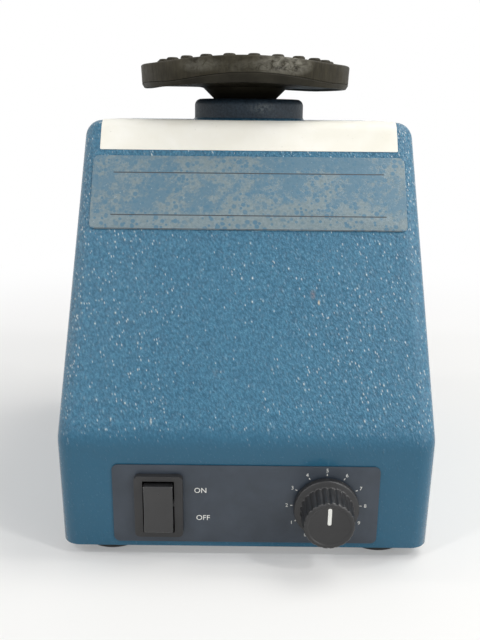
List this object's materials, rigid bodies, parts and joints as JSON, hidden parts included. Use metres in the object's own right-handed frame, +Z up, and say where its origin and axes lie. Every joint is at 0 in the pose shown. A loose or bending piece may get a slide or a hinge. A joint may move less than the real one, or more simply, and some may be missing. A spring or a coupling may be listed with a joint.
{
  "type": "vortex mixer",
  "caption": "Bench vortex mixer: sloping cast housing with a neck, sprung eccentric motor drive, round rubber-topped platform, rocker switch and speed dial.",
  "frame": {"origin": "centre of the bounding box on the table plane, under the feet", "axes": "+Z up, -Y towards the user at the front, X the width"},
  "size_m": [0.122, 0.1896, 0.1636],
  "materials": {
    "housing_paint": "hammertone",
    "plate_steel": "satin",
    "black_rubber": "matte",
    "cover_rubber": "matte",
    "white_label": "matte",
    "name_metal": "worn satin",
    "control_skin": "satin",
    "black_plastic": "matte",
    "gloss_black": "gloss",
    "print_white": "matte",
    "zinc_steel": "zinc plated",
    "spring_steel": "drawn",
    "cast_alloy": "as cast",
    "core_steel": "laminated",
    "copper_enamel": "enamelled",
    "bearing_steel": "polished",
    "weight_iron": "machined",
    "brass_tab": "plain",
    "red_plastic": "gloss",
    "board_green": "coated",
    "block_green": "moulded",
    "nylon": "moulded",
    "cap_yellow": "gloss",
    "lead_red": "insulated",
    "lead_yellow": "insulated",
    "lead_blue": "insulated"
  },
  "bodies": {
    "mixer_body": {"housing": "housing_paint", "base_plate": "plate_steel", "rubber_feet": "black_rubber", "foot_screws": "zinc_steel", "caution_label": "white_label", "nameplate": "name_metal", "control_plate": "control_skin", "switch_body": "black_plastic", "switch_terminals": "brass_tab", "dial_pot": "zinc_steel", "pot_nut": "zinc_steel", "guide_posts": "zinc_steel", "press_springs": "spring_steel", "post_washers": "zinc_steel", "post_nuts": "zinc_steel", "touch_bracket": "plate_steel", "bracket_screws": "zinc_steel", "touch_switch": "black_plastic", "touch_screws": "zinc_steel", "circuit_board": "board_green", "board_posts": "nylon", "board_screws": "zinc_steel", "terminal_block": "block_green", "triac": "gloss_black", "heat_sink": "cast_alloy", "film_capacitor": "cap_yellow", "choke_coil": "copper_enamel", "switch_leads": "lead_red", "dial_leads": "lead_yellow", "motor_leads": "lead_blue", "cord_gland": "black_rubber"},
    "motor": {"upper_bracket": "cast_alloy", "lower_bracket": "cast_alloy", "stator_core": "core_steel", "stator_windings": "copper_enamel", "through_bolts": "zinc_steel", "through_nuts": "zinc_steel", "upper_bearing": "bearing_steel", "lower_bearing": "bearing_steel"},
    "rotor": {"motor_shaft": "zinc_steel", "rotor_core": "core_steel", "cooling_fan": "black_plastic", "fan_screw": "spring_steel", "eccentric_hub": "cast_alloy", "counterweight": "weight_iron", "weight_screws": "spring_steel", "hub_screw": "spring_steel"},
    "head": {"head_bearing": "bearing_steel", "bearing_clip": "spring_steel", "drive_post": "cast_alloy", "splash_ring": "black_rubber"},
    "platform_head": {"platform": "black_plastic", "rubber_cover": "cover_rubber"},
    "rocker": {"switch_rocker": "gloss_black"},
    "knob": {"pot_shaft": "zinc_steel", "speed_knob": "black_plastic", "knob_pointer": "print_white", "knob_screw": "spring_steel"},
    "plunger": {"touch_plunger": "red_plastic"}
  },
  "joints": [
    {"name": "touch_press", "type": "slide", "parent": "mixer_body", "child": "motor", "axis": [0, 0, -1], "range_m": [0, 0.0015], "stiffness_N_per_m": 9000, "springref_m": -0.005, "deforming": ["press_springs", "motor_leads"]},
    {"name": "touch_plunger_slide", "type": "slide", "parent": "mixer_body", "child": "plunger", "axis": [0, 0, -1], "range_m": [0, 0.0015]},
    {"name": "shaft_spin", "type": "hinge", "parent": "motor", "child": "rotor", "pos_m": [0, 0.00477, 0.1214], "axis": [0, 0, 1], "continuous": true},
    {"name": "head_counter", "type": "hinge", "parent": "rotor", "child": "head", "pos_m": [-0.0016, 0.00754, 0.1404], "axis": [0, 0, 1], "continuous": true},
    {"name": "platform_lift", "type": "slide", "parent": "head", "child": "platform_head", "axis": [0, 0, 1], "range_m": [0, 0.03]},
    {"name": "speed_dial", "type": "hinge", "parent": "mixer_body", "child": "knob", "pos_m": [0.026, -0.08116, 0.02], "axis": [0, -0.9962, -0.0872], "range_deg": [-150, 150]},
    {"name": "power_rocker", "type": "hinge", "parent": "mixer_body", "child": "rocker", "pos_m": [-0.028, -0.08066, 0.02004], "axis": [1, 0, 0], "range_deg": [-12, 12]}
  ],
  "couplings": [
    {"joint": "touch_plunger_slide", "follows": "touch_press", "ratio": 1},
    {"joint": "head_counter", "follows": "shaft_spin", "ratio": -1}
  ]
}
